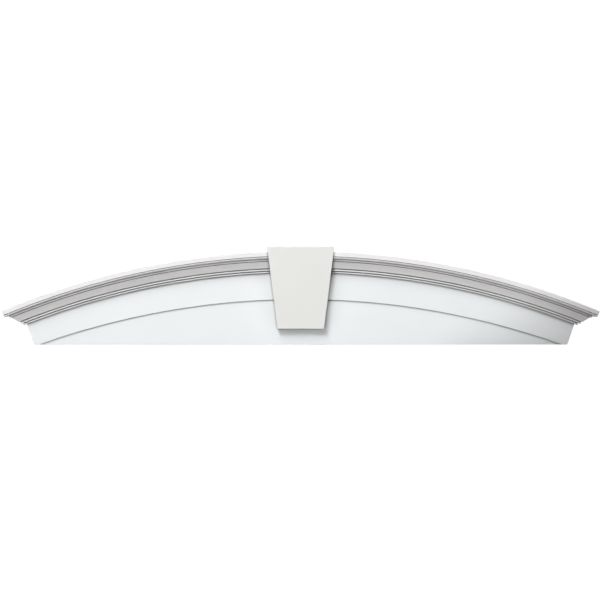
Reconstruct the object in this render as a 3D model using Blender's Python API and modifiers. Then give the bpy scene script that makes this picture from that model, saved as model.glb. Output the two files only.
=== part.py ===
"""Arched crosshead with a keystone: the white segmental head that is fixed over a door.

Four pieces: a back panel cut to the whole outline, an arched frieze planted on its face,
a crown moulding that follows the arch and returns to the wall round both ends, and a
keystone scribed over the crown. Units are metres and +Z is up. The wall is the plane
y = 0 and the face looks along -Y. The origin is the middle of the back panel's back.
"""

import math

import bmesh
import bpy
from mathutils import Matrix, Vector

# Body
BODY_WIDTH = 1.829  # across the underside
BODY_HEIGHT = 0.2479  # underside to the crown's foot, at the middle
END_HEIGHT = 0.0711  # underside to the crown's foot, at either end
END_LEAN = math.radians(18.8)  # how far the ends lean out from upright
PANEL_THICKNESS = 0.025
FRIEZE_THICKNESS = 0.006
FRIEZE_DEPTH = 0.0924  # crown's foot to the frieze's lower edge, at the middle
FRIEZE_TOE = 0.0175  # width left of the frieze where its tips meet the underside

# Crown moulding, member by member from its foot, each with its rise and its step out
LOWER_FILLET_RISE = 0.0050
LOWER_FILLET_STEP = 0.0120
FILLET_QUIRK_RISE = 0.0028
UPPER_FILLET_RISE = 0.0047
UPPER_FILLET_STEP = 0.0075
COVE_QUIRK_RISE = 0.0034
COVE_LEDGE = 0.0040
COVE_RISE = 0.0230
COVE_OUT = 0.0180
COVE_SAG = 0.0010  # depth of the hollow behind the cove's chord
NECK_QUIRK_RISE = 0.0020
NECK_RISE = 0.0075
NECK_STEP = 0.0050
SOFFIT_DEPTH = 0.0106  # neck to the start of the ovolo
OVOLO_RADIUS = 0.0058  # quarter round under the fascia
FASCIA_QUIRK_RISE = 0.0018
FASCIA_STEP = 0.0005  # fascia's face in front of the ovolo's
FASCIA_RISE = 0.0146
TOP_EASE = 0.0020  # radius of the fascia's upper edge
QUIRK_DEPTH = 0.0030  # how far each quirk, the sunk line under a member, goes in

# Keystone
KEYSTONE_HEIGHT = 0.2790
KEYSTONE_TOP_WIDTH = 0.2293
KEYSTONE_FOOT_WIDTH = 0.1589
KEYSTONE_ABOVE_CROWN = 0.0152
KEYSTONE_PROUD = 0.0130  # its face in front of the crown's fascia
KEYSTONE_EASE = 0.0015  # bevel round its edges

# Fits and fineness
GLUE_LINE = 0.0003  # gap left between pieces that touch
ARCH_STEPS = 60
COVE_STEPS = 6
OVOLO_STEPS = 4
EASE_STEPS = 2
CUTTER_OVERRUN = 0.010  # how far a cutter runs past what it cuts

# Places that follow from the sizes
CROWN_HEIGHT = (
    LOWER_FILLET_RISE
    + FILLET_QUIRK_RISE
    + UPPER_FILLET_RISE
    + COVE_QUIRK_RISE
    + COVE_RISE
    + NECK_QUIRK_RISE
    + NECK_RISE
    + OVOLO_RADIUS
    + FASCIA_QUIRK_RISE
    + FASCIA_RISE
)
CROWN_NECK_OUT = LOWER_FILLET_STEP + UPPER_FILLET_STEP + COVE_LEDGE + COVE_OUT + NECK_STEP
CROWN_PROJECTION = CROWN_NECK_OUT + SOFFIT_DEPTH + OVOLO_RADIUS + max(0, FASCIA_STEP)
UNDERSIDE_Z = -(BODY_HEIGHT + CROWN_HEIGHT) / 2
CROWN_FOOT_Z = UNDERSIDE_Z + BODY_HEIGHT
PANEL_FACE_Y = -PANEL_THICKNESS
FRIEZE_FACE_Y = PANEL_FACE_Y - FRIEZE_THICKNESS
KEYSTONE_FACE_Y = FRIEZE_FACE_Y - CROWN_PROJECTION - KEYSTONE_PROUD

# Outward direction of the right-hand end face
END_NORMAL = Vector((math.cos(END_LEAN), 0, -math.sin(END_LEAN)))


def arc_radius(half_chord, rise):
    """Radius of the arc that rises this far over a chord of twice half_chord."""
    return (half_chord**2 + rise**2) / (2 * rise)


FOOT_HALF_CHORD = BODY_WIDTH / 2 + END_HEIGHT * math.tan(END_LEAN)
FOOT_RADIUS = arc_radius(FOOT_HALF_CHORD, BODY_HEIGHT - END_HEIGHT)
ARCH_CENTRE_Z = CROWN_FOOT_Z - FOOT_RADIUS
CROWN_TOP_RADIUS = FOOT_RADIUS + CROWN_HEIGHT
FRIEZE_EDGE_RISE = BODY_HEIGHT - FRIEZE_DEPTH
FRIEZE_EDGE_HALF_CHORD = BODY_WIDTH / 2 - FRIEZE_TOE
FRIEZE_EDGE_RADIUS = arc_radius(FRIEZE_EDGE_HALF_CHORD, FRIEZE_EDGE_RISE)
FRIEZE_EDGE_CENTRE_Z = UNDERSIDE_Z + FRIEZE_EDGE_RISE - FRIEZE_EDGE_RADIUS


def clear_scene():
    for obj in list(bpy.data.objects):
        bpy.data.objects.remove(obj)


def new_collection(name):
    collection = bpy.data.collections.new(name)
    bpy.context.scene.collection.children.link(collection)
    return collection


def painted(name, colour, roughness):
    """A painted plastic finish."""
    material = bpy.data.materials.new(name)
    material.use_nodes = True
    shader = material.node_tree.nodes["Principled BSDF"]
    shader.inputs["Base Color"].default_value = (*colour, 1)
    shader.inputs["Roughness"].default_value = roughness
    shader.inputs["Metallic"].default_value = 0
    return material


def mesh_object(name, bm, collection, material=None):
    """Turns a closed bmesh into an object with outward faces and smooth curves."""
    bmesh.ops.recalc_face_normals(bm, faces=bm.faces)
    mesh = bpy.data.meshes.new(name)
    bm.to_mesh(mesh)
    bm.free()
    if material:
        mesh.materials.append(material)
    mesh.shade_smooth()
    mesh.set_sharp_from_angle(angle=math.radians(30))
    obj = bpy.data.objects.new(name, mesh)
    collection.objects.link(obj)
    return obj


def arc(centre, radius, start, end, steps):
    """Points from angle start to angle end, in radians from the first axis."""
    angles = [start + (end - start) * i / steps for i in range(steps + 1)]
    return [centre + radius * Vector((math.cos(a), math.sin(a))) for a in angles]


def arch_points(radius, centre_z, half_angle):
    """Points (x, z) from the right to the left over an arch about the middle line."""
    upright = math.pi / 2
    return arc(Vector((0, centre_z)), radius, upright - half_angle, upright + half_angle, ARCH_STEPS)


def end_crossing(radius, centre_z):
    """Angle from upright at which an arc of this radius meets the right-hand end face."""
    foot = Vector((BODY_WIDTH / 2, 0, UNDERSIDE_Z)) - Vector((0, 0, centre_z))
    inset = foot.dot(END_NORMAL)
    return END_LEAN + math.asin(inset / radius)


def crown_profile():
    """The crown's section as (out, up) from the frieze's face and the crown's foot."""
    points = [Vector((0, 0)), Vector((LOWER_FILLET_STEP, 0))]
    at = points[-1].copy()

    def go(out, up):
        at.x += out
        at.y += up
        points.append(at.copy())

    def quirk(rise, step):
        go(-QUIRK_DEPTH, 0)
        go(0, rise)
        go(QUIRK_DEPTH + step, 0)

    go(0, LOWER_FILLET_RISE)
    quirk(FILLET_QUIRK_RISE, UPPER_FILLET_STEP)
    go(0, UPPER_FILLET_RISE)
    quirk(COVE_QUIRK_RISE, COVE_LEDGE)
    points.extend(cove(at, at + Vector((COVE_OUT, COVE_RISE)))[1:])
    at = points[-1].copy()
    quirk(NECK_QUIRK_RISE, NECK_STEP)
    go(0, NECK_RISE)
    go(SOFFIT_DEPTH, 0)
    ovolo_centre = at + Vector((0, OVOLO_RADIUS))
    points.extend(arc(ovolo_centre, OVOLO_RADIUS, -math.pi / 2, 0, OVOLO_STEPS)[1:])
    at = points[-1].copy()
    quirk(FASCIA_QUIRK_RISE, FASCIA_STEP)
    ease_centre = at + Vector((-TOP_EASE, FASCIA_RISE - TOP_EASE))
    points.extend(arc(ease_centre, TOP_EASE, 0, math.pi / 2, EASE_STEPS))
    points.append(Vector((0, CROWN_HEIGHT)))
    return points


def cove(low, high):
    """A shallow hollow from low to high, sunk COVE_SAG behind the straight line."""
    chord = high - low
    radius = arc_radius(chord.length / 2, COVE_SAG)
    outward = Vector((chord.y, -chord.x)).normalized()
    centre = (low + high) / 2 + outward * (radius - COVE_SAG)
    start, end = low - centre, high - centre
    first = math.atan2(start.y, start.x)
    turn = start.angle_signed(end)
    return arc(centre, radius, first, first - turn, COVE_STEPS)


def grown(profile, gap):
    """The profile with every side moved out by gap and its corners kept sharp."""
    count = len(profile)
    sides = [(profile[(i + 1) % count] - profile[i]).normalized() for i in range(count)]
    normals = [Vector((side.y, -side.x)) for side in sides]
    moved = []
    for i, point in enumerate(profile):
        before, after = normals[i - 1], normals[i]
        moved.append(point + (before + after) * gap / (1 + before.dot(after)))
    return moved


def swept_section(profile, half_angle, steps):
    """A closed section swept about the arch's centre, from one side to the other."""
    bm = bmesh.new()
    corners = [
        bm.verts.new((0, FRIEZE_FACE_Y - out, ARCH_CENTRE_Z + FOOT_RADIUS + up)) for out, up in profile
    ]
    section = bm.faces.new(corners)
    centre = (0, 0, ARCH_CENTRE_Z)
    bmesh.ops.rotate(bm, verts=bm.verts, cent=centre, matrix=Matrix.Rotation(-half_angle, 3, "Y"))
    bmesh.ops.spin(
        bm,
        geom=[section, *section.edges, *section.verts],
        cent=centre,
        axis=(0, 1, 0),
        angle=2 * half_angle,
        steps=steps,
    )
    return bm


def return_to_wall(bm, side):
    """Cuts one end of the sweep on its mitre and carries the cut section back to the wall."""
    corner = Vector((side * BODY_WIDTH / 2, FRIEZE_FACE_Y, UNDERSIDE_Z))
    outward = Vector((side * END_NORMAL.x, 1, END_NORMAL.z))
    cut = bmesh.ops.bisect_plane(
        bm,
        geom=[*bm.verts, *bm.edges, *bm.faces],
        dist=1e-6,
        plane_co=corner,
        plane_no=outward,
        clear_outer=True,
    )
    edges = [element for element in cut["geom_cut"] if isinstance(element, bmesh.types.BMEdge)]
    face = bmesh.ops.contextual_create(bm, geom=edges)["faces"][0]
    carried = bmesh.ops.extrude_face_region(bm, geom=[face, *face.edges])["geom"]
    verts = [element for element in carried if isinstance(element, bmesh.types.BMVert)]
    bmesh.ops.scale(bm, vec=(1, 0, 1), verts=verts)


def crown_moulding(collection, material):
    """The arched run with a mitred return at each end, all one piece."""
    profile = crown_profile()
    for point in (profile[0], profile[-1]):
        point.x = GLUE_LINE
    past_mitre = 2 * CROWN_PROJECTION / FOOT_RADIUS
    half_angle = end_crossing(FOOT_RADIUS, ARCH_CENTRE_Z) + past_mitre
    bm = swept_section(profile, half_angle, ARCH_STEPS)
    for side in (1, -1):
        return_to_wall(bm, side)
    return mesh_object("crown_moulding", bm, collection, material)


def flat_board(name, outline, back_y, thickness, collection, material):
    """A board of this (x, z) outline, standing in front of the plane back_y."""
    curve = bpy.data.curves.new(name, "CURVE")
    curve.dimensions = "2D"
    curve.fill_mode = "BOTH"
    curve.extrude = thickness / 2
    spline = curve.splines.new("POLY")
    spline.points.add(len(outline) - 1)
    for point, (x, z) in zip(spline.points, outline):
        point.co = (x, z, 0, 1)
    spline.use_cyclic_u = True
    curve.materials.append(material)
    board = bpy.data.objects.new(name, curve)
    board.rotation_euler = (math.pi / 2, 0, 0)
    board.location = (0, back_y - thickness / 2, 0)
    collection.objects.link(board)
    return board


def back_panel(collection, material):
    """The whole outline in one board, up to the crown's top. Its face shows below the frieze."""
    top = arch_points(CROWN_TOP_RADIUS, ARCH_CENTRE_Z, end_crossing(CROWN_TOP_RADIUS, ARCH_CENTRE_Z))
    half = BODY_WIDTH / 2
    outline = [Vector((-half, UNDERSIDE_Z)), Vector((half, UNDERSIDE_Z)), *top]
    return flat_board("back_panel", outline, 0, PANEL_THICKNESS, collection, material)


def arched_frieze(collection, material):
    """The thin band planted on the panel, its lower edge struck to a flatter arc."""
    half = BODY_WIDTH / 2
    top = arch_points(CROWN_TOP_RADIUS, ARCH_CENTRE_Z, end_crossing(CROWN_TOP_RADIUS, ARCH_CENTRE_Z))
    edge_angle = math.asin(FRIEZE_EDGE_HALF_CHORD / FRIEZE_EDGE_RADIUS)
    lower_edge = arch_points(FRIEZE_EDGE_RADIUS, FRIEZE_EDGE_CENTRE_Z, edge_angle)
    outline = [
        *reversed(lower_edge),
        Vector((half, UNDERSIDE_Z)),
        *top,
        Vector((-half, UNDERSIDE_Z)),
    ]
    back_y = PANEL_FACE_Y - GLUE_LINE
    return flat_board(
        "arched_frieze", outline, back_y, FRIEZE_THICKNESS - GLUE_LINE, collection, material
    )


def cutter(name, bm, collection):
    obj = mesh_object(name, bm, collection)
    obj.hide_render = True
    obj.display_type = "WIRE"
    return obj


def prism(outline, front_y, back_y):
    """A closed bmesh of this (x, z) outline between two planes."""
    bm = bmesh.new()
    face = bm.faces.new([bm.verts.new((x, front_y, z)) for x, z in outline])
    carried = bmesh.ops.extrude_face_region(bm, geom=[face])["geom"]
    verts = [element for element in carried if isinstance(element, bmesh.types.BMVert)]
    bmesh.ops.translate(bm, vec=(0, back_y - front_y, 0), verts=verts)
    return bm


def keystone_cutters(collection):
    """What the keystone is scribed over: the crown, the frieze and the panel."""
    behind_wall = CUTTER_OVERRUN
    reach = math.asin(KEYSTONE_TOP_WIDTH / FOOT_RADIUS)

    crown = grown(crown_profile(), GLUE_LINE)
    for point in (crown[0], crown[-1]):
        point.x = FRIEZE_FACE_Y - behind_wall
    over_crown = swept_section(crown, reach, ARCH_STEPS)

    edge_z = FRIEZE_EDGE_CENTRE_Z
    lower_edge = arch_points(FRIEZE_EDGE_RADIUS - GLUE_LINE, edge_z, reach)
    inside_crown = CROWN_FOOT_Z + LOWER_FILLET_RISE
    frieze = [
        *reversed(lower_edge),
        Vector((KEYSTONE_TOP_WIDTH, inside_crown)),
        Vector((-KEYSTONE_TOP_WIDTH, inside_crown)),
    ]
    over_frieze = prism(frieze, FRIEZE_FACE_Y - GLUE_LINE, behind_wall)

    panel = [
        Vector((side * KEYSTONE_TOP_WIDTH, z))
        for side, z in (
            (-1, UNDERSIDE_Z),
            (1, UNDERSIDE_Z),
            (1, CROWN_FOOT_Z + CROWN_HEIGHT / 2),
            (-1, CROWN_FOOT_Z + CROWN_HEIGHT / 2),
        )
    ]
    over_panel = prism(panel, PANEL_FACE_Y - GLUE_LINE, behind_wall * 2)
    return [
        cutter("crown_scribe", over_crown, collection),
        cutter("frieze_scribe", over_frieze, collection),
        cutter("panel_scribe", over_panel, collection),
    ]


def keystone(collection, cutters, material):
    """A wedge with a flat face, scribed over the crown and capping it back to the wall."""
    top_z = CROWN_FOOT_Z + CROWN_HEIGHT + KEYSTONE_ABOVE_CROWN
    foot_z = top_z - KEYSTONE_HEIGHT
    outline = [
        Vector((-KEYSTONE_FOOT_WIDTH / 2, foot_z)),
        Vector((KEYSTONE_FOOT_WIDTH / 2, foot_z)),
        Vector((KEYSTONE_TOP_WIDTH / 2, top_z)),
        Vector((-KEYSTONE_TOP_WIDTH / 2, top_z)),
    ]
    block = mesh_object("keystone", prism(outline, KEYSTONE_FACE_Y, 0), collection, material)
    ease = block.modifiers.new("eased edges", "BEVEL")
    ease.width = KEYSTONE_EASE
    ease.segments = 2
    for scribe in keystone_cutters(cutters):
        cut = block.modifiers.new(scribe.name, "BOOLEAN")
        cut.operation = "DIFFERENCE"
        cut.object = scribe
    return block


def main():
    clear_scene()
    parts = new_collection("arched_crosshead")
    cutters = new_collection("cutters")
    panel_paint = painted("panel_white", (0.84, 0.87, 0.88), 0.42)
    crown_paint = painted("crown_white", (0.85, 0.84, 0.84), 0.45)
    keystone_paint = painted("keystone_white", (0.80, 0.80, 0.78), 0.50)
    back_panel(parts, panel_paint)
    arched_frieze(parts, panel_paint)
    crown_moulding(parts, crown_paint)
    keystone(parts, cutters, keystone_paint)


main()
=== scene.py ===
"""Dresses the arched crosshead: fine meshes, satin white finishes, a studio and a camera.

Units are metres and +Z is up. The wall is the plane y = 0, the moulded face looks along -Y
and x = 0 is the middle of the keystone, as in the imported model.
"""

import logging
import math
from abc import ABC, abstractmethod
from dataclasses import dataclass, field
from enum import Enum

import bmesh
import bpy
from mathutils import Matrix, Vector


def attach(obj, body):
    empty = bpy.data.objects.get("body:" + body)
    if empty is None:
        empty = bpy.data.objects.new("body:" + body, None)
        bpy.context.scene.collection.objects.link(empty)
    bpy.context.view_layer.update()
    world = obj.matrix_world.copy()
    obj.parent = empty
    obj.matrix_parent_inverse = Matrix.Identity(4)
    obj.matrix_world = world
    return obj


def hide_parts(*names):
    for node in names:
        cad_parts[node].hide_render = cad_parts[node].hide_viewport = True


LOG = logging.getLogger("crosshead")

# Meshes.
CUT_TOLERANCE = 1e-6  # metres
ROUND_STEPS = 12  # flats in the cove and in each rounding
SMOOTH_UNDER = math.radians(32)  # faces that meet at less are shaded as one
SECTION_CORNER = math.radians(38)  # a corner of the crown's section turns by more
BOARD_ARRIS = math.radians(40)  # an edge of a board turns by more
FLATS_WEIGHT = 100  # large faces alone give the normals

# Paint. Scales are features to a metre.
PAINT_IOR = 1.46
DRIFT_SCALE = 2.6
CLOUD_SCALE = 34
RUB_SCALE = 9
PEEL_SCALE = 420
ROUGHNESS_SPREAD = 0.05
NOISE_LOW, NOISE_HIGH = 0.3, 0.7  # what most of a noise's values lie between
DRIFT_LOW, DRIFT_HIGH = 0.35, 0.65
DRIFT_SHARE, CLOUD_SHARE = 0.8, 0.2  # of the way from the light paint to the shade
# Openness at which the shade painted into quirks and corners is darkest, and at which it is gone.
CREVICE_SHADE_DARKEST, CREVICE_SHADE_GONE = 0.3, 0.95  # openness
# Openness at which the wider shade painted into corners is darkest.
CORNER_SHADE_DARKEST = 0.5  # openness
SHEET_GRAIN = (9, 500, 260)
CAST_GRAIN = (150, 150, 150)
DRAWN_ALONG = 14  # features to a radian of the arch
DRAWN_ACROSS = 700

# Studio.
PICTURE_PIXELS = 600
SENSOR_WIDTH = 36  # millimetres
SURROUND_FRONT, SURROUND_BACK = -0.1, 0.6  # how far back a direction points, from -1 to 1
FLOOR_SIDES = 96
FLOOR_BOUNCE = (0.80, 0.79, 0.785)  # the floor's colour to all but the camera
FLOOR_SEEN = (0.22, 0.22, 0.22)  # its colour to the camera, under its own glow
FLOOR_GLOW_TINT = (1, 0.995, 0.99, 1)
HEAD_MIDDLE = (0, 0, 0.05)
LEFT_END = (-0.95, 0, -0.02)
RIGHT_END = (0.95, 0, -0.02)
BACK_CONE = math.radians(32)
END_CONE = math.radians(24)

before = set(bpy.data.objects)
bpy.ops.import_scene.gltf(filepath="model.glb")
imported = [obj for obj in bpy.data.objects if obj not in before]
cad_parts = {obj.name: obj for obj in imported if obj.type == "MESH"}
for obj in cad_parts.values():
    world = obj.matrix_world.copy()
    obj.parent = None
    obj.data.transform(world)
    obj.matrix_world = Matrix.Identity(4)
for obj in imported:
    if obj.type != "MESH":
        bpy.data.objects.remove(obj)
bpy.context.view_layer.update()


@dataclass(frozen=True)
class Arc:
    """A circular arc about the middle line, in the plane of the wall.

    Attributes:
        radius: Radius of the arc.
        centre_z: Height of its centre.
    """

    radius: float
    centre_z: float

    @classmethod
    def over_chord(cls, half_chord: float, rise: float, chord_z: float) -> "Arc":
        """The arc that rises this far over a level chord.

        Args:
            half_chord: Half the chord's length.
            rise: Height of the arc over the chord, at the middle.
            chord_z: Height of the chord.

        Returns:
            The arc.
        """
        radius = (half_chord**2 + rise**2) / (2 * rise)
        return cls(radius, chord_z + rise - radius)

    def spun(
        self, bm: bmesh.types.BMesh, reach: float, y: float, steps: int
    ) -> list[bmesh.types.BMEdge]:
        """Spins a vertex along the arc.

        Args:
            bm: Mesh that gets the edges.
            reach: How far to each side of the middle the arc runs.
            y: Depth of the plane that it lies in.
            steps: Number of edges.

        Returns:
            The edges, from the right to the left.
        """
        half_angle = math.asin(reach / self.radius)
        start = bm.verts.new((reach, y, self.centre_z + self.radius * math.cos(half_angle)))
        before = set(bm.edges)
        bmesh.ops.spin(
            bm,
            geom=[start],
            cent=(0, 0, self.centre_z),
            axis=(0, 1, 0),
            angle=-2 * half_angle,
            steps=steps,
        )
        return [edge for edge in bm.edges if edge not in before]


@dataclass(frozen=True)
class HeadSizes:
    """Sizes that the pieces share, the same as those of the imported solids.

    Attributes:
        body_width: Length of the underside.
        body_height: From the underside to the crown's foot, at the middle.
        end_height: Height of an end face under the crown.
        end_lean: How far an end face leans out, in radians.
        panel_thickness: Thickness of the back panel.
        frieze_thickness: How far the frieze's face stands in front of the panel's.
        frieze_depth: From the frieze's lower edge to the crown's foot, at the middle.
        frieze_toe: From the underside's end to where the frieze's lower edge meets it.
        crown_height: Rise of the crown's section.
        glue_line: Gap between neighbouring pieces.
        spare_length: How far a length runs past the underside's end before it is cut.
    """

    body_width: float = 1.829
    body_height: float = 0.2479
    end_height: float = 0.0711
    end_lean: float = math.radians(18.8)
    panel_thickness: float = 0.025
    frieze_thickness: float = 0.006
    frieze_depth: float = 0.0924
    frieze_toe: float = 0.0175
    crown_height: float = 0.0706
    glue_line: float = 0.0003
    spare_length: float = 0.12

    @property
    def underside_z(self) -> float:
        """Height of the straight underside."""
        return -(self.body_height + self.crown_height) / 2

    @property
    def foot_arc(self) -> Arc:
        """The crown's foot."""
        half_chord = self.body_width / 2 + self.end_height * math.tan(self.end_lean)
        rise = self.body_height - self.end_height
        return Arc.over_chord(half_chord, rise, self.underside_z + self.end_height)

    @property
    def top_arc(self) -> Arc:
        """The upper edge of the crown, the frieze and the panel."""
        foot = self.foot_arc
        return Arc(foot.radius + self.crown_height, foot.centre_z)

    @property
    def frieze_arc(self) -> Arc:
        """The frieze's lower edge."""
        half_chord = self.body_width / 2 - self.frieze_toe
        return Arc.over_chord(half_chord, self.body_height - self.frieze_depth, self.underside_z)

    @property
    def panel_face_y(self) -> float:
        """Depth of the panel's face."""
        return -self.panel_thickness

    @property
    def frieze_face_y(self) -> float:
        """Depth of the frieze's face."""
        return self.panel_face_y - self.frieze_thickness

    @property
    def past_ends(self) -> float:
        """Half a length that runs past the ends, for what is then cut to them."""
        return self.body_width / 2 + self.spare_length

    def end_corner(self, side: int) -> Vector:
        """Foot of an end face, with -1 for the left end and 1 for the right."""
        return Vector((side * self.body_width / 2, 0, self.underside_z))

    def end_normal(self, side: int) -> Vector:
        """Outward direction of an end face, with -1 for the left end and 1 for the right."""
        return Vector((side * math.cos(self.end_lean), 0, -math.sin(self.end_lean)))


@dataclass(frozen=True)
class CrownSection:
    """The crown's section, member by member from its foot, with each rise and each step out."""

    lower_fillet_rise: float = 0.0050
    lower_fillet_step: float = 0.0120
    fillet_quirk_rise: float = 0.0028
    upper_fillet_rise: float = 0.0047
    upper_fillet_step: float = 0.0075
    cove_quirk_rise: float = 0.0034
    cove_ledge: float = 0.0040
    cove_rise: float = 0.0230
    cove_out: float = 0.0180
    cove_sag: float = 0.0010
    neck_quirk_rise: float = 0.0020
    neck_rise: float = 0.0075
    neck_step: float = 0.0050
    soffit_depth: float = 0.0106
    ovolo_radius: float = 0.0058
    fascia_quirk_rise: float = 0.0018
    fascia_step: float = 0.0005
    fascia_rise: float = 0.0146
    top_ease: float = 0.0020
    quirk_depth: float = 0.0030

    @property
    def height(self) -> float:
        """Rise of the whole section."""
        return (
            self.lower_fillet_rise
            + self.fillet_quirk_rise
            + self.upper_fillet_rise
            + self.cove_quirk_rise
            + self.cove_rise
            + self.neck_quirk_rise
            + self.neck_rise
            + self.ovolo_radius
            + self.fascia_quirk_rise
            + self.fascia_rise
        )

    @property
    def projection(self) -> float:
        """How far the section stands out from the frieze."""
        neck = self.lower_fillet_step + self.upper_fillet_step + self.cove_ledge + self.cove_out
        return neck + self.neck_step + self.soffit_depth + self.ovolo_radius + self.fascia_step

    def corners(self, back: float, round_steps: int) -> list[Vector]:
        """Walks round the section.

        Args:
            back: How far in front of the frieze's face its back stands.
            round_steps: Number of flats in the cove and in each rounding.

        Returns:
            Points (out, up), from the foot at the back, out and up to the top at the back.
        """
        points = [Vector((back, 0)), Vector((self.lower_fillet_step, 0))]

        def go(out: float, up: float) -> None:
            """Adds the next corner, this far out and up from the last."""
            points.append(points[-1] + Vector((out, up)))

        def quirk(rise: float, step: float) -> None:
            """Sinks a quirk of this rise, with the member over it stepping out."""
            go(-self.quirk_depth, 0)
            go(0, rise)
            go(self.quirk_depth + step, 0)

        go(0, self.lower_fillet_rise)
        quirk(self.fillet_quirk_rise, self.upper_fillet_step)
        go(0, self.upper_fillet_rise)
        quirk(self.cove_quirk_rise, self.cove_ledge)
        points.extend(self.cove(points[-1], round_steps))
        quirk(self.neck_quirk_rise, self.neck_step)
        go(0, self.neck_rise)
        go(self.soffit_depth, 0)
        ovolo = points[-1] + Vector((0, self.ovolo_radius))
        points.extend(turned(ovolo, self.ovolo_radius, -math.pi / 2, 0, round_steps)[1:])
        quirk(self.fascia_quirk_rise, self.fascia_step)
        ease = points[-1] + Vector((-self.top_ease, self.fascia_rise - self.top_ease))
        points.extend(turned(ease, self.top_ease, 0, math.pi / 2, round_steps))
        points.append(Vector((back, self.height)))
        return points

    def cove(self, low: Vector, steps: int) -> list[Vector]:
        """The shallow hollow over the fillets.

        Args:
            low: Point that it starts from.
            steps: Number of flats.

        Returns:
            Points after low, up to the hollow's top.
        """
        chord = Vector((self.cove_out, self.cove_rise))
        radius = (chord.length**2 / 4 + self.cove_sag**2) / (2 * self.cove_sag)
        outward = Vector((chord.y, -chord.x)).normalized()
        centre = low + chord / 2 + outward * (radius - self.cove_sag)
        start, end = low - centre, low + chord - centre
        first = math.atan2(start.y, start.x)
        return turned(centre, radius, first, first - start.angle_signed(end), steps)[1:]


def turned(centre: Vector, radius: float, start: float, end: float, steps: int) -> list[Vector]:
    """Points round a centre.

    Args:
        centre: Centre of the turn.
        radius: Radius of the turn.
        start: Angle of the first point, in radians.
        end: Angle of the last point, in radians.
        steps: Number of steps between them.

    Returns:
        The points, with both ends.
    """
    angles = [start + (end - start) * i / steps for i in range(steps + 1)]
    return [centre + radius * Vector((math.cos(a), math.sin(a))) for a in angles]


def grown(points: list[Vector], gap: float) -> list[Vector]:
    """Moves every side of a section out and keeps its corners sharp.

    Args:
        points: The section's corners, anticlockwise.
        gap: How far each side moves.

    Returns:
        The moved corners.
    """
    sides = [(b - a).normalized() for a, b in zip(points, points[1:] + points[:1])]
    normals = [Vector((side.y, -side.x)) for side in sides]
    pairs = zip(points, [normals[-1], *normals], normals)
    return [p + (a + b) * gap / (1 + a.dot(b)) for p, a, b in pairs]


class Grain(Enum):
    """How the surface under the paint was worked."""

    SHEET = "sheet"  # calendered sheet, faintly streaked along its length
    DRAWN = "drawn"  # moulding drawn along the arch
    CAST = "cast"  # cast block, without a direction


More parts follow.
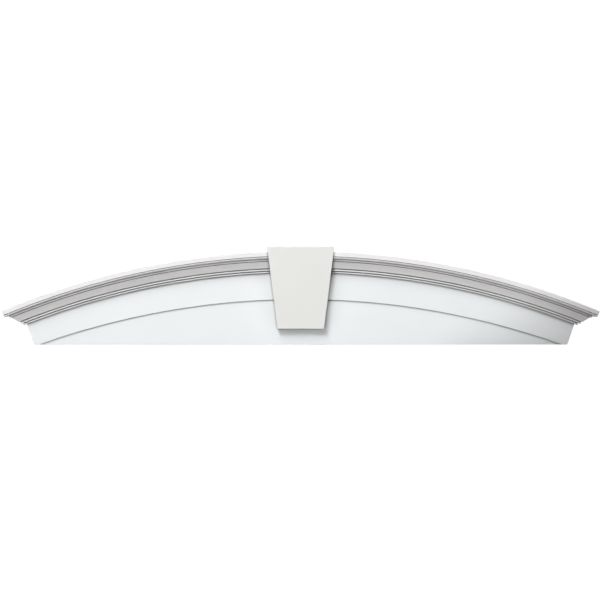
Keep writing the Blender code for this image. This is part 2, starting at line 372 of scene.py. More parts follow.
@dataclass(frozen=True)
class SatinWhite:
    """A white paint on moulded plastic, with shade painted darker into its quirks and corners.

    Attributes:
        name: The material's name.
        slot: Name of a material slot; not used.
        light: Its usual colour, linear.
        shade: The slightly deeper colour that drifts through it, linear.
        roughness: Its middle roughness.
        grain: How the surface under it was worked.
        grain_depth: Height of the grain.
        peel_depth: Height of the sprayed coat's own stipple.
        crevice_shade_share: Share of its brightness that is left in a quirk or a corner, under the
            painted shade.
        crevice_shade_reach: How far from a quirk or a corner the painted shade fades out.
        corner_shade_share: Share of its brightness that is left deep in a wide corner, under a
            wider painted shade.
        corner_shade_reach: How far from the corner the wider painted shade fades out.
        corner_shade_clear: How open the surface is where the wider painted shade ends.
    """

    name: str
    slot: str
    light: tuple[float, float, float]
    shade: tuple[float, float, float]
    roughness: float
    grain: Grain
    grain_depth: float = 0.00003
    peel_depth: float = 0.00004
    crevice_shade_share: float = 0.55
    crevice_shade_reach: float = 0.012
    corner_shade_share: float = 1.0
    corner_shade_reach: float = 0.080
    corner_shade_clear: float = 0.95

    def build(self, arch_centre_z: float) -> bpy.types.Material:
        """Makes the material.

        Args:
            arch_centre_z: Height of the arches' centre, which drawn grain follows.

        Returns:
            The material.
        """
        material = bpy.data.materials.new(self.name)
        material.use_nodes = True
        material.diffuse_color = (*self.light, 1)
        nodes = NodeDesk(material.node_tree)
        shader = material.node_tree.nodes["Principled BSDF"]
        shader.inputs["Metallic"].default_value = 0
        shader.inputs["IOR"].default_value = PAINT_IOR
        place = nodes.add("ShaderNodeTexCoord").outputs["Object"]
        drift = nodes.noise(place, scale=DRIFT_SCALE, detail=3, roughness=0.55)
        cloud = nodes.noise(place, scale=CLOUD_SCALE, detail=4, roughness=0.6)
        wide = nodes.ranged(drift, DRIFT_LOW, DRIFT_HIGH, 0, DRIFT_SHARE)
        fine = nodes.ranged(cloud, NOISE_LOW, NOISE_HIGH, 0, CLOUD_SHARE)
        paint = nodes.mixed(nodes.math("ADD", wide, fine), self.light, self.shade)
        # Painted shade: the colour darkens in quirks and corners, where shadow falls, by how open
        # the surface is round each point.
        near = nodes.openness(self.crevice_shade_reach)
        painted_shade_factor = nodes.ranged(near, CREVICE_SHADE_DARKEST, CREVICE_SHADE_GONE, self.crevice_shade_share, 1)
        # A wider painted shade darkens it further in wide corners and under overhangs.
        if self.corner_shade_share < 1:
            about = nodes.openness(self.corner_shade_reach)
            thin = nodes.ranged(about, CORNER_SHADE_DARKEST, self.corner_shade_clear, self.corner_shade_share, 1)
            painted_shade_factor = nodes.math("MULTIPLY", painted_shade_factor, thin)
        nodes.join(nodes.dimmed(paint, painted_shade_factor), shader.inputs["Base Color"])
        rub = nodes.noise(place, scale=RUB_SCALE, detail=5, roughness=0.65)
        smoothest, roughest = self.roughness - ROUGHNESS_SPREAD, self.roughness + ROUGHNESS_SPREAD
        sheen = nodes.ranged(rub, NOISE_LOW, NOISE_HIGH, smoothest, roughest)
        nodes.join(sheen, shader.inputs["Roughness"])
        along = self.grain_place(nodes, place, arch_centre_z)
        grain = nodes.noise(along, scale=1, detail=3, roughness=0.5)
        peel = nodes.noise(place, scale=PEEL_SCALE, detail=2, roughness=0.5)
        worked = nodes.bump(grain, self.grain_depth)
        nodes.join(nodes.bump(peel, self.peel_depth, worked), shader.inputs["Normal"])
        return material

    def grain_place(
        self, nodes: "NodeDesk", place: bpy.types.NodeSocket, arch_centre_z: float
    ) -> bpy.types.NodeSocket:
        """Stretches the grain along the way the piece was worked.

        Args:
            nodes: The material's nodes.
            place: Object coordinates.
            arch_centre_z: Height of the arches' centre.

        Returns:
            Coordinates for the grain, in units of its own width.
        """
        if self.grain is Grain.SHEET:
            return nodes.scaled(place, SHEET_GRAIN)
        if self.grain is Grain.CAST:
            return nodes.scaled(place, CAST_GRAIN)
        parts = nodes.add("ShaderNodeSeparateXYZ")
        nodes.join(place, parts.inputs[0])
        across, depth, up = parts.outputs
        up = nodes.math("SUBTRACT", up, arch_centre_z)
        across_squared = nodes.math("MULTIPLY", across, across)
        up_squared = nodes.math("MULTIPLY", up, up)
        radius = nodes.math("SQRT", nodes.math("ADD", across_squared, up_squared))
        angle = nodes.math("ARCTAN2", across, up)
        run = nodes.add("ShaderNodeCombineXYZ")
        nodes.join(nodes.math("MULTIPLY", angle, DRAWN_ALONG), run.inputs[0])
        nodes.join(nodes.math("MULTIPLY", radius, DRAWN_ACROSS), run.inputs[1])
        nodes.join(nodes.math("MULTIPLY", depth, DRAWN_ACROSS), run.inputs[2])
        return run.outputs[0]


@dataclass
class NodeDesk:
    """Short ways to add and join shader nodes.

    Attributes:
        tree: The node tree that is being filled.
    """

    tree: bpy.types.NodeTree

    def add(self, kind: str) -> bpy.types.Node:
        """Adds a node of this kind."""
        return self.tree.nodes.new(kind)

    def join(self, source: bpy.types.NodeSocket, target: bpy.types.NodeSocket) -> None:
        """Links two sockets."""
        self.tree.links.new(source, target)

    def feed(self, value: bpy.types.NodeSocket | float, target: bpy.types.NodeSocket) -> None:
        """Links a socket, or sets a number.

        Args:
            value: Socket or number.
            target: Input that gets it.
        """
        if isinstance(value, bpy.types.NodeSocket):
            self.join(value, target)
        else:
            target.default_value = value

    def math(
        self, operation: str, a: bpy.types.NodeSocket | float, b: bpy.types.NodeSocket | float = 0.0
    ) -> bpy.types.NodeSocket:
        """A Math node's result.

        Args:
            operation: The node's operation.
            a: First value.
            b: Second value.

        Returns:
            The result.
        """
        node = self.add("ShaderNodeMath")
        node.operation = operation
        self.feed(a, node.inputs[0])
        self.feed(b, node.inputs[1])
        return node.outputs[0]

    def noise(
        self, place: bpy.types.NodeSocket, scale: float, detail: float, roughness: float
    ) -> bpy.types.NodeSocket:
        """A Noise Texture's value.

        Args:
            place: Coordinates.
            scale: Features to a unit of them.
            detail: Number of octaves.
            roughness: Share that each octave keeps.

        Returns:
            The value, about 0.5 on average.
        """
        node = self.add("ShaderNodeTexNoise")
        node.inputs["Scale"].default_value = scale
        node.inputs["Detail"].default_value = detail
        node.inputs["Roughness"].default_value = roughness
        self.join(place, node.inputs["Vector"])
        return node.outputs[0]

    def ranged(
        self,
        value: bpy.types.NodeSocket,
        low: float,
        high: float,
        to_low: bpy.types.NodeSocket | float,
        to_high: bpy.types.NodeSocket | float,
    ) -> bpy.types.NodeSocket:
        """Maps one range onto another, and clamps it there.

        Args:
            value: What is mapped.
            low: Start of its range.
            high: End of its range.
            to_low: What low becomes.
            to_high: What high becomes.

        Returns:
            The mapped value.
        """
        node = self.add("ShaderNodeMapRange")
        self.join(value, node.inputs["Value"])
        node.inputs["From Min"].default_value = low
        node.inputs["From Max"].default_value = high
        self.feed(to_low, node.inputs["To Min"])
        self.feed(to_high, node.inputs["To Max"])
        return node.outputs[0]

    def mixed(
        self,
        factor: bpy.types.NodeSocket,
        first: tuple[float, float, float],
        second: tuple[float, float, float],
    ) -> bpy.types.NodeSocket:
        """Blends two colours.

        Args:
            factor: 0 for the first colour and 1 for the second.
            first: First colour.
            second: Second colour.

        Returns:
            The colour.
        """
        ramp = self.add("ShaderNodeValToRGB")
        ramp.color_ramp.elements[0].color = (*first, 1)
        ramp.color_ramp.elements[1].color = (*second, 1)
        self.join(factor, ramp.inputs[0])
        return ramp.outputs[0]

    def openness(self, reach: float) -> bpy.types.NodeSocket:
        """How open the surface is round each point.

        Args:
            reach: How far away a neighbour still counts.

        Returns:
            1 in the open, about 0.5 in a corner and less in a quirk.
        """
        node = self.add("ShaderNodeAmbientOcclusion")
        node.inputs["Distance"].default_value = reach
        return node.outputs["AO"]

    def dimmed(
        self, colour: bpy.types.NodeSocket, share: bpy.types.NodeSocket
    ) -> bpy.types.NodeSocket:
        """Dims a colour.

        Args:
            colour: The colour.
            share: Share of its brightness that is left.

        Returns:
            The dimmed colour.
        """
        node = self.add("ShaderNodeVectorMath")
        node.operation = "SCALE"
        self.join(colour, node.inputs[0])
        self.join(share, node.inputs["Scale"])
        return node.outputs[0]

    def scaled(
        self, place: bpy.types.NodeSocket, scale: tuple[float, float, float]
    ) -> bpy.types.NodeSocket:
        """Stretches coordinates.

        Args:
            place: Coordinates.
            scale: Factor along each axis.

        Returns:
            The stretched coordinates.
        """
        node = self.add("ShaderNodeMapping")
        node.inputs["Scale"].default_value = scale
        self.join(place, node.inputs["Vector"])
        return node.outputs[0]

    def bump(
        self, height: bpy.types.NodeSocket, depth: float, over: bpy.types.NodeSocket | None = None
    ) -> bpy.types.NodeSocket:
        """Turns a height into a normal.

        Args:
            height: Height from 0 to 1.
            depth: What 1 is in metres.
            over: Normal that it is laid over.

        Returns:
            The normal.
        """
        node = self.add("ShaderNodeBump")
        node.inputs["Strength"].default_value = 1
        node.inputs["Distance"].default_value = depth
        self.join(height, node.inputs["Height"])
        if over is not None:
            self.join(over, node.inputs["Normal"])
        return node.outputs[0]


def new_object(name: str, bm: bmesh.types.BMesh) -> bpy.types.Object:
    """Turns a bmesh into an object with outward faces.

    Args:
        name: The object's name.
        bm: Its mesh, which is freed.

    Returns:
        The object, at the origin.
    """
    bmesh.ops.recalc_face_normals(bm, faces=bm.faces)
    mesh = bpy.data.meshes.new(name)
    bm.to_mesh(mesh)
    bm.free()
    obj = bpy.data.objects.new(name, mesh)
    bpy.context.scene.collection.objects.link(obj)
    return obj


def verts_of(geometry: list) -> list[bmesh.types.BMVert]:
    """The vertices among what an operator returns."""
    return [element for element in geometry if isinstance(element, bmesh.types.BMVert)]


def ease(
    bm: bmesh.types.BMesh, edges: list[bmesh.types.BMEdge], radius: float, segments: int = 3
) -> None:
    """Rounds edges.

    Args:
        bm: The mesh.
        edges: Edges to round.
        radius: How far in the rounding starts.
        segments: Number of flats in it.
    """
    bmesh.ops.bevel(
        bm,
        geom=edges,
        offset=radius,
        segments=segments,
        profile=0.5,
        affect="EDGES",
        material=-1,
    )


def sharp_edges(bm: bmesh.types.BMesh, least: float) -> list[bmesh.types.BMEdge]:
    """Convex edges that turn by more than an angle.

    Args:
        bm: A closed mesh with outward faces.
        least: The angle, in radians.

    Returns:
        The edges.
    """
    return [edge for edge in bm.edges if edge.is_convex and edge.calc_face_angle(0) > least]


@dataclass
class Piece(ABC):
    """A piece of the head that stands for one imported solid.

    Attributes:
        sizes: The head's shared sizes.
        finish: Its paint.
        node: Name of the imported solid.
    """

    sizes: HeadSizes
    finish: SatinWhite
    node: str = field(init=False, default="")

    @abstractmethod
    def shape(self) -> bpy.types.Object:
        """Makes the piece's object."""

    def place(self) -> bpy.types.Object:
        """Shapes and dresses the piece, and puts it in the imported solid's place.

        Returns:
            The finished object.
        """
        obj = self.shape()
        obj.data.shade_smooth()
        obj.data.set_sharp_from_angle(angle=SMOOTH_UNDER)
        flats = obj.modifiers.new("true_flats", "WEIGHTED_NORMAL")
        flats.keep_sharp = True
        flats.weight = FLATS_WEIGHT
        obj.data.materials.clear()
        obj.data.materials.append(self.finish.build(self.sizes.foot_arc.centre_z))
        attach(obj, "root")
        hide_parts(self.node)
        LOG.info("%s: %d faces, stands for %s", obj.name, len(obj.data.polygons), self.node)
        return obj


@dataclass
class CrownMoulding(Piece):
    """The moulding that follows the arch and returns to the wall round both ends.

    Attributes:
        section: Its section.
        steps: Number of straight lengths in the arch.
        arris: Radius of its worked edges.
        set_in: How far the returns are moved in, since the finer arc is wider than the solid's.
    """

    section: CrownSection = field(default_factory=CrownSection)
    steps: int = 220
    arris: float = 0.0006
    set_in: float = 0.00014
    node: str = field(init=False, default="crown_moulding")

    def sweep(self, profile: list[Vector], half_length: float, arris: float) -> bmesh.types.BMesh:
        """Spins a section about the arch's centre.

        Args:
            profile: The section, as (out, up).
            half_length: How far to each side of the middle the crown's foot runs.
            arris: Radius of the section's rounded corners, or 0.

        Returns:
            A closed mesh with both ends cut square to the arch.
        """
        foot = self.sizes.foot_arc
        bm = bmesh.new()
        face_y = self.sizes.frieze_face_y
        foot_z = foot.centre_z + foot.radius
        corners = [bm.verts.new((0, face_y - out, foot_z + up)) for out, up in profile]
        bm.faces.new(corners)
        if arris:
            turns = [vert for vert in corners if vert.calc_edge_angle(0) > SECTION_CORNER]
            bmesh.ops.bevel(
                bm,
                geom=turns,
                offset=arris,
                segments=3,
                profile=0.5,
                affect="VERTICES",
                material=-1,
                clamp_overlap=True,
            )
        centre = (0, 0, foot.centre_z)
        half_angle = half_length / foot.radius
        turn = Matrix.Rotation(-half_angle, 3, "Y")
        bmesh.ops.rotate(bm, verts=bm.verts, cent=centre, matrix=turn)
        bmesh.ops.spin(
            bm,
            geom=[*bm.verts, *bm.edges, *bm.faces],
            cent=centre,
            axis=(0, 1, 0),
            angle=2 * half_angle,
            steps=self.steps,
        )
        return bm

    def return_to_wall(self, bm: bmesh.types.BMesh, side: int) -> None:
        """Cuts one end on its mitre and carries the cut section back to the wall.

        Args:
            bm: The swept crown.
            side: -1 for the left end and 1 for the right.
        """
        outward = self.sizes.end_normal(side)
        corner = self.sizes.end_corner(side) - outward * self.set_in
        corner.y = self.sizes.frieze_face_y
        cut = bmesh.ops.bisect_plane(
            bm,
            geom=[*bm.verts, *bm.edges, *bm.faces],
            dist=CUT_TOLERANCE,
            plane_co=corner,
            plane_no=outward + Vector((0, 1, 0)),
            clear_outer=True,
        )
        edges = [element for element in cut["geom_cut"] if isinstance(element, bmesh.types.BMEdge)]
        face = bmesh.ops.contextual_create(bm, geom=edges)["faces"][0]
        carried = bmesh.ops.extrude_face_region(bm, geom=[face, *face.edges])["geom"]
        bmesh.ops.scale(bm, vec=(1, 0, 1), verts=verts_of(carried))

    def shape(self) -> bpy.types.Object:
        """Makes the arched run with its two returns.

        Returns:
            The crown's object.
        """
        profile = self.section.corners(self.sizes.glue_line, ROUND_STEPS)
        bm = self.sweep(profile, self.sizes.past_ends + self.section.projection, self.arris)
        for side in (-1, 1):
            self.return_to_wall(bm, side)
        return new_object("crown", bm)


@dataclass
class Board(Piece):
    """A flat board with an arched top, cut to the splayed ends.

    Attributes:
        steps: Number of straight lengths in each arched edge.
        arris: Radius of its eased edges.
    """

    steps: int = 220
    arris: float = 0.0010

    @abstractmethod
    def lower_edge(self, bm: bmesh.types.BMesh, y: float) -> list[bmesh.types.BMEdge]:
        """Draws the board's lower edge.

        Args:
            bm: Mesh that gets the edges.
            y: Depth of the plane that it lies in.

        Returns:
            The edges.
        """

    @abstractmethod
    def faces_y(self) -> tuple[float, float]:
        """Depth of the board's back and of its face."""

    def cut_to_ends(self, bm: bmesh.types.BMesh) -> None:
        """Cuts a flat sheet of faces to the splayed ends and the underside.

        Args:
            bm: The sheet.
        """
        planes = [(self.sizes.end_corner(side), self.sizes.end_normal(side)) for side in (-1, 1)]
        planes.append((self.sizes.end_corner(1), Vector((0, 0, -1))))
        for corner, outward in planes:
            bmesh.ops.bisect_plane(
                bm,
                geom=[*bm.verts, *bm.edges, *bm.faces],
                dist=CUT_TOLERANCE,
                plane_co=corner,
                plane_no=outward,
                clear_outer=True,
            )

    def shape(self) -> bpy.types.Object:
        """Bridges the board's two edges, cuts it to its ends and gives it its thickness.

        Returns:
            The board's object.
        """
        back_y, face_y = self.faces_y()
        bm = bmesh.new()
        upper = self.sizes.top_arc.spun(bm, self.sizes.past_ends, back_y, self.steps)
        lower = self.lower_edge(bm, back_y)
        bmesh.ops.bridge_loops(bm, edges=[*upper, *lower])
        self.cut_to_ends(bm)
        carried = bmesh.ops.extrude_face_region(bm, geom=bm.faces[:])["geom"]
        bmesh.ops.translate(bm, vec=(0, face_y - back_y, 0), verts=verts_of(carried))
        bmesh.ops.recalc_face_normals(bm, faces=bm.faces)
        ease(bm, sharp_edges(bm, BOARD_ARRIS), self.arris)
        return new_object(self.node.split("_")[-1], bm)


@dataclass
class BackPanel(Board):
    """The board that carries the rest and shows under the frieze."""

    node: str = field(init=False, default="back_panel")

    def lower_edge(self, bm: bmesh.types.BMesh, y: float) -> list[bmesh.types.BMEdge]:
        """Draws the straight underside.

        Args:
            bm: Mesh that gets the edges.
            y: Depth of the plane that it lies in.

        Returns:
            The edges.
        """
        reach = self.sizes.past_ends
        before = set(bm.edges)
        ends = [bm.verts.new((side * reach, y, self.sizes.underside_z)) for side in (1, -1)]
        run = bm.edges.new(ends)
        bmesh.ops.subdivide_edges(bm, edges=[run], cuts=self.steps - 1)
        return [edge for edge in bm.edges if edge not in before]

    def faces_y(self) -> tuple[float, float]:
        """Depth of the panel's back and of its face."""
        return 0.0, self.sizes.panel_face_y


@dataclass
class ArchedFrieze(Board):
    """The thin band planted on the panel, under and behind the crown."""

    node: str = field(init=False, default="arched_frieze")

    def lower_edge(self, bm: bmesh.types.BMesh, y: float) -> list[bmesh.types.BMEdge]:
        """Draws the arched lower edge, on past the underside.

        Args:
            bm: Mesh that gets the edges.
            y: Depth of the plane that it lies in.

        Returns:
            The edges.
        """
        return self.sizes.frieze_arc.spun(bm, self.sizes.past_ends, y, self.steps)

    def faces_y(self) -> tuple[float, float]:
        """Depth of the frieze's back and of its face."""
        return self.sizes.panel_face_y - self.sizes.glue_line, self.sizes.frieze_face_y


@dataclass
class Keystone(Piece):
    """The tapered block that is scribed over the crown.

    Attributes:
        crown: The crown that it is scribed over.
        height: Its height.
        top_width: Its width at the top.
        foot_width: Its width at the foot.
        above_crown: How far its top stands over the crown's.
        proud: How far its face stands in front of the crown's fascia.
        arris: Radius of its eased edges.
        arris_steps: Number of flats in each.
        scribe_steps: Number of straight lengths in the cut over the frieze.
        past_wall: How far the cut over the crown runs on behind the wall.
        cut_lap: How far the cut over the panel runs up into the one over the crown.
        frieze_cut: Depth of the cut over the frieze, out through the wall.
        panel_cut: Depth of the cut over the panel, further out, so that no two faces meet.
    """

    crown: CrownMoulding | None = None
    height: float = 0.2790
    top_width: float = 0.2293
    foot_width: float = 0.1589
    above_crown: float = 0.0152
    proud: float = 0.0130
    arris: float = 0.0015
    arris_steps: int = 4
    scribe_steps: int = 40
    past_wall: float = 0.01
    cut_lap: float = 0.03
    frieze_cut: float = 0.06
    panel_cut: float = 0.07
    node: str = field(init=False, default="keystone")

    def block(self) -> bpy.types.Object:
        """Makes the whole wedge, before it is scribed.

        Returns:
            The wedge's object.
        """
        crown_top_z = self.sizes.underside_z + self.sizes.body_height + self.sizes.crown_height
        top_z = crown_top_z + self.above_crown
        face_y = self.sizes.frieze_face_y - self.crown.section.projection - self.proud
        bm = bmesh.new()
        bmesh.ops.create_cube(bm, size=1)
        foot = [vert for vert in bm.verts if vert.co.z < 0]
        bmesh.ops.scale(bm, vec=(self.foot_width / self.top_width, 1, 1), verts=foot)
        bmesh.ops.scale(bm, vec=(self.top_width, -face_y, self.height), verts=bm.verts)
        bmesh.ops.translate(bm, vec=(0, face_y / 2, top_z - self.height / 2), verts=bm.verts)
        seen = [edge for edge in bm.edges if min(v.co.y for v in edge.verts) < -CUT_TOLERANCE]
        ease(bm, seen, self.arris, self.arris_steps)
        return new_object("keystone_block", bm)

    def slab(
        self, lower: list[bmesh.types.BMEdge], bm: bmesh.types.BMesh, top_z: float, depth: float
    ) -> None:
        """Carries a lower edge up to a height, then back through the wall.

        Args:
            lower: The edge.
            bm: The mesh that holds it.
            top_z: Height that it is carried to.
            depth: How far back it is carried.
        """
        risen = verts_of(bmesh.ops.extrude_edge_only(bm, edges=lower)["geom"])
        for vert in risen:
            vert.co.z = top_z
        back = bmesh.ops.extrude_face_region(bm, geom=bm.faces[:])["geom"]
        bmesh.ops.translate(bm, vec=(0, depth, 0), verts=verts_of(back))

    def scribes(self) -> list[bpy.types.Object]:
        """What the block is cut away for: the crown, the frieze and the panel.

        Returns:
            The cutters.
        """
        gap = self.sizes.glue_line
        reach = self.top_width
        frieze_y = self.sizes.frieze_face_y
        panel_y = self.sizes.panel_face_y - gap
        section = grown(self.crown.section.corners(0, ROUND_STEPS), gap)
        for point in (section[0], section[-1]):
            point.x = frieze_y - self.past_wall
        over_crown = new_object("crown_scribe", self.crown.sweep(section, reach, 0))

        frieze = bmesh.new()
        arc = self.sizes.frieze_arc
        lower = Arc(arc.radius - gap, arc.centre_z)
        edge = lower.spun(frieze, reach, frieze_y - gap, self.scribe_steps)
        crown_foot_z = self.sizes.underside_z + self.sizes.body_height
        inside_crown_z = crown_foot_z + self.crown.section.lower_fillet_rise
        self.slab(edge, frieze, inside_crown_z, self.frieze_cut)

        panel = bmesh.new()
        foot_z = self.sizes.underside_z
        ends = [panel.verts.new((side * reach, panel_y, foot_z)) for side in (1, -1)]
        run = panel.edges.new(ends)
        self.slab([run], panel, inside_crown_z + self.cut_lap, self.panel_cut)
        return [over_crown, new_object("frieze_scribe", frieze), new_object("panel_scribe", panel)]

    def shape(self) -> bpy.types.Object:
        """Cuts the block away where it sits over the crown, the frieze and the panel.

        Returns:
            The keystone's object.
        """
        obj = self.block()
        cutters = self.scribes()
        for cutter in cutters:
            cut = obj.modifiers.new(cutter.name, "BOOLEAN")
            cut.operation = "DIFFERENCE"
            cut.object = cutter
        evaluated = obj.evaluated_get(bpy.context.evaluated_depsgraph_get())
        mesh = bpy.data.meshes.new_from_object(evaluated)
        obj.modifiers.clear()
        obj.data = mesh
        for cutter in cutters:
            bpy.data.objects.remove(cutter)
        return obj


@dataclass(frozen=True)
class SoftLight:
    """A studio lamp.

    Attributes:
        name: Its name.
        place: Where it stands.
        target: What it points at.
        watts: Its power.
        size: Its diameter.
        cone: Its beam's whole angle, in radians.
        edge: How soft the beam's edge is, from 0 to 1.
        past: Names of the pieces that throw no shadow from it.
        glints: Whether it shows in the gloss.
    """

    name: str
    place: tuple[float, float, float]
    target: tuple[float, float, float]
    watts: float
    size: float
    cone: float = math.radians(60)
    edge: float = 1.0
    past: tuple[str, ...] = ()
    glints: bool = True

    def build(self) -> bpy.types.Object:
        """Makes the lamp.

        Returns:
            The lamp's object.
        """
        light = bpy.data.lights.new(self.name, "SPOT")
        light.energy = self.watts
        light.shadow_soft_size = self.size / 2
        light.spot_size = self.cone
        light.spot_blend = self.edge
        lamp = bpy.data.objects.new(self.name, light)
        lamp.location = self.place
        aim = Vector(self.target) - Vector(self.place)
        lamp.rotation_euler = aim.to_track_quat("-Z", "Y").to_euler()
        lamp.visible_glossy = self.glints
        bpy.context.scene.collection.objects.link(lamp)
        if self.past:
            spared = bpy.data.collections.new(f"{self.name}_passes")
            for name in self.past:
                spared.objects.link(bpy.data.objects[name])
            for held in spared.collection_objects:
                held.light_linking.link_state = "EXCLUDE"
            lamp.light_linking.blocker_collection = spared
        return lamp


@dataclass
class Studio:
    """The white studio: a pale floor, an even white surround, the lamps and the camera.

    Attributes:
        sizes: The head's sizes.
        floor_z: Height of the floor.
        floor_radius: Radius of the floor.
        floor_glow: Brightness that the camera sees in it without any lamp.
        backdrop: Brightness of the white that the camera sees behind the head.
        before: Brightness of the surround in front of the wall, as the head is lit by it.
        behind: Brightness of the surround behind the wall.
        distance: From the wall to the camera.
        metres_per_pixel: Scale on the frieze's face.
        camera_x: How far to the right of the middle the camera stands.
        underside_row: Row of the picture that the underside stands on.
        lamps: The lamps, with the three in front of the wall first.
        flag_edge: Middle of the shading card's upper edge.
        flag_size: The card's width and height.
        flag_lean: How far the card leans down to the right, in radians.
    """

    sizes: HeadSizes
    floor_z: float = -1.6
    floor_radius: float = 6.4
    floor_glow: float = 0.74
    backdrop: float = 1.05
    before: float = 0.02
    behind: float = 0.25
    distance: float = 12.0
    metres_per_pixel: float = 0.00343
    camera_x: float = -0.0024
    underside_row: float = 344.6
    lamps: tuple[SoftLight, ...] = (
        SoftLight("key", (-1.12, -9.11, 2.46), HEAD_MIDDLE, 1720, 2.6),
        SoftLight("mid", (-1.71, -8.05, 4.80), HEAD_MIDDLE, 460, 2.0),
        SoftLight("high", (-0.90, -6.42, 7.00), HEAD_MIDDLE, 1420, 3.6, past=("keystone_block",)),
        SoftLight("back", (0.3, 6.0, 0.6), (0, 0, 0), 640, 0.4, BACK_CONE, 0.4, glints=False),
        SoftLight("left_end", (-4.2, 1.9, 0.8), LEFT_END, 230, 0.3, END_CONE, glints=False),
        SoftLight("right_end", (4.2, 1.9, 0.8), RIGHT_END, 250, 0.3, END_CONE, glints=False),
    )
    flag_edge: tuple[float, float, float] = (0.598, -0.92, 0.145)
    flag_size: tuple[float, float] = (1.8, 0.6)
    flag_lean: float = math.radians(28)

    def floor(self) -> bpy.types.Object:
        """Makes the pale floor.

        Returns:
            The floor's object.
        """
        bm = bmesh.new()
        bmesh.ops.create_circle(bm, cap_ends=True, radius=self.floor_radius, segments=FLOOR_SIDES)
        bmesh.ops.translate(bm, vec=(0, 0, self.floor_z), verts=bm.verts)
        for face in bm.faces:
            if face.normal.z < 0:
                face.normal_flip()
        mesh = bpy.data.meshes.new("floor")
        bm.to_mesh(mesh)
        bm.free()
        floor = bpy.data.objects.new("floor", mesh)
        bpy.context.scene.collection.objects.link(floor)
        mesh.materials.append(self.floor_paint())
        return floor

    def floor_paint(self) -> bpy.types.Material:
        """Makes the floor's paint, pale as it is seen and clear from underneath.

        Returns:
            The material.
        """
        material = bpy.data.materials.new("pale_floor")
        material.use_nodes = True
        nodes = NodeDesk(material.node_tree)
        shader = material.node_tree.nodes["Principled BSDF"]
        shader.inputs["Roughness"].default_value = 0.9
        shader.inputs["Specular IOR Level"].default_value = 0
        seen = nodes.add("ShaderNodeLightPath").outputs["Is Camera Ray"]
        nodes.join(nodes.mixed(seen, FLOOR_BOUNCE, FLOOR_SEEN), shader.inputs["Base Color"])
        shader.inputs["Emission Color"].default_value = FLOOR_GLOW_TINT
        glow = nodes.math("MULTIPLY", seen, self.floor_glow)
        nodes.join(glow, shader.inputs["Emission Strength"])
        either = nodes.add("ShaderNodeMixShader")
        nodes.join(nodes.add("ShaderNodeNewGeometry").outputs["Backfacing"], either.inputs[0])
        nodes.join(shader.outputs[0], either.inputs[1])
        nodes.join(nodes.add("ShaderNodeBsdfTransparent").outputs[0], either.inputs[2])
        nodes.join(either.outputs[0], material.node_tree.nodes["Material Output"].inputs["Surface"])
        return material

    def flag(self) -> bpy.types.Object:
        """Makes the card that shades the lower right corner from the key, unseen itself.

        Returns:
            The card's object.
        """
        bm = bmesh.new()
        bmesh.ops.create_grid(bm, size=0.5)
        width, height = self.flag_size
        bmesh.ops.scale(bm, vec=(width, height, 1), verts=bm.verts)
        bmesh.ops.translate(bm, vec=(0, -height / 2, 0), verts=bm.verts)
        turn = Matrix.Rotation(-self.flag_lean, 3, "Y") @ Matrix.Rotation(math.pi / 2, 3, "X")
        bmesh.ops.rotate(bm, verts=bm.verts, cent=(0, 0, 0), matrix=turn)
        bmesh.ops.translate(bm, vec=self.flag_edge, verts=bm.verts)
        flag = new_object("flag", bm)
        flag.visible_camera = False
        flag.visible_diffuse = False
        flag.visible_glossy = False
        return flag

    def light_surround(self) -> None:
        """Makes the surround: white as seen, and dim as light, so that the lamps do the shaping."""
        world = bpy.data.worlds.new("studio")
        bpy.context.scene.world = world
        world.use_nodes = True
        nodes = NodeDesk(world.node_tree)
        background = world.node_tree.nodes["Background"]
        way = nodes.add("ShaderNodeTexCoord").outputs["Generated"]
        parts = nodes.add("ShaderNodeSeparateXYZ")
        nodes.join(way, parts.inputs[0])
        back = parts.outputs[1]
        glow = nodes.ranged(back, SURROUND_FRONT, SURROUND_BACK, self.before, self.behind)
        seen = nodes.add("ShaderNodeLightPath").outputs["Is Camera Ray"]
        brightness = nodes.ranged(seen, 0, 1, glow, self.backdrop)
        background.inputs["Color"].default_value = (1, 1, 1, 1)
        nodes.join(brightness, background.inputs["Strength"])

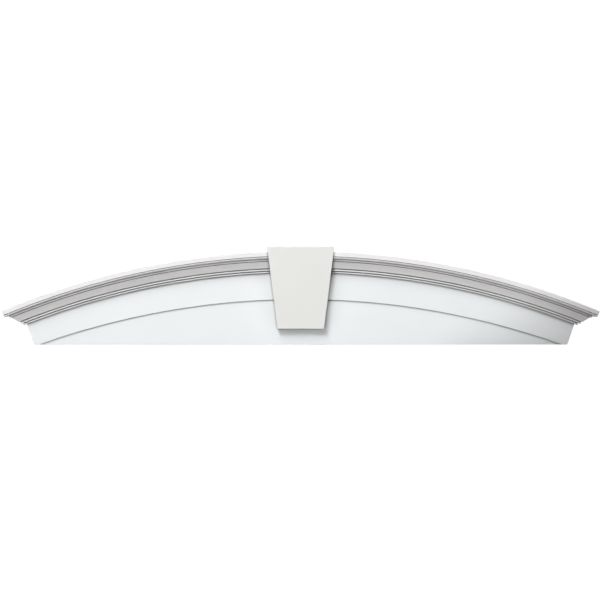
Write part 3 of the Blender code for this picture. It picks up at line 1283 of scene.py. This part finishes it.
    def camera(self) -> bpy.types.Object:
        """Makes the camera, square on to the face and far away.

        Returns:
            The camera's object.
        """
        data = bpy.data.cameras.new("camera")
        data.sensor_width = SENSOR_WIDTH
        to_frieze = self.distance + self.sizes.frieze_face_y
        data.lens = data.sensor_width * to_frieze / (PICTURE_PIXELS * self.metres_per_pixel)
        data.clip_end = 100
        camera = bpy.data.objects.new("camera", data)
        below_middle = self.underside_row - PICTURE_PIXELS / 2
        aim_z = self.sizes.underside_z + below_middle * self.metres_per_pixel
        camera.location = (self.camera_x, -self.distance, aim_z)
        camera.rotation_euler = (math.pi / 2, 0, 0)
        bpy.context.scene.collection.objects.link(camera)
        bpy.context.scene.camera = camera
        return camera

    def build(self) -> None:
        """Sets the studio up."""
        self.floor()
        self.flag()
        self.light_surround()
        for lamp in self.lamps:
            lamp.build()
        self.camera()
        bpy.context.scene.view_settings.view_transform = "Standard"


PANEL_WHITE = SatinWhite(
    "panel_white",
    "panel",
    light=(0.850, 0.872, 0.880),
    shade=(0.835, 0.862, 0.872),
    roughness=0.42,
    grain=Grain.SHEET,
    # Painted shade in its corners: beside the keystone, under the crown's foot and under the
    # frieze's lower edge, with a wider painted shade out from them.
    crevice_shade_share=0.30,
    crevice_shade_reach=0.010,
    corner_shade_share=0.86,
)
CROWN_WHITE = SatinWhite(
    "crown_white",
    "crown",
    light=(0.868, 0.854, 0.857),
    shade=(0.854, 0.838, 0.842),
    roughness=0.45,
    grain=Grain.DRAWN,
    # Painted shade: dark lines in the quirks, and a wider painted shade on the neck under the
    # soffit.
    crevice_shade_share=0.12,
    crevice_shade_reach=0.0034,
    corner_shade_share=0.45,
    corner_shade_reach=0.020,
    corner_shade_clear=0.82,
)
KEYSTONE_WHITE = SatinWhite(
    "keystone_white",
    "keystone",
    light=(0.800, 0.802, 0.780),
    shade=(0.785, 0.788, 0.764),
    roughness=0.50,
    grain=Grain.CAST,
    # Painted shade: its sides darker near the crown, the frieze and the panel.
    crevice_shade_share=0.50,
    crevice_shade_reach=0.050,
)


def main() -> None:
    """Builds the head's pieces and the studio round them."""
    logging.basicConfig(level=logging.INFO, format="%(name)s: %(message)s", force=True)
    sizes = HeadSizes()
    crown = CrownMoulding(sizes, CROWN_WHITE)
    pieces: list[Piece] = [
        BackPanel(sizes, PANEL_WHITE),
        ArchedFrieze(sizes, PANEL_WHITE),
        crown,
        Keystone(sizes, KEYSTONE_WHITE, crown=crown),
    ]
    for piece in pieces:
        piece.place()
    Studio(sizes).build()


if __name__ == "__main__":
    main()
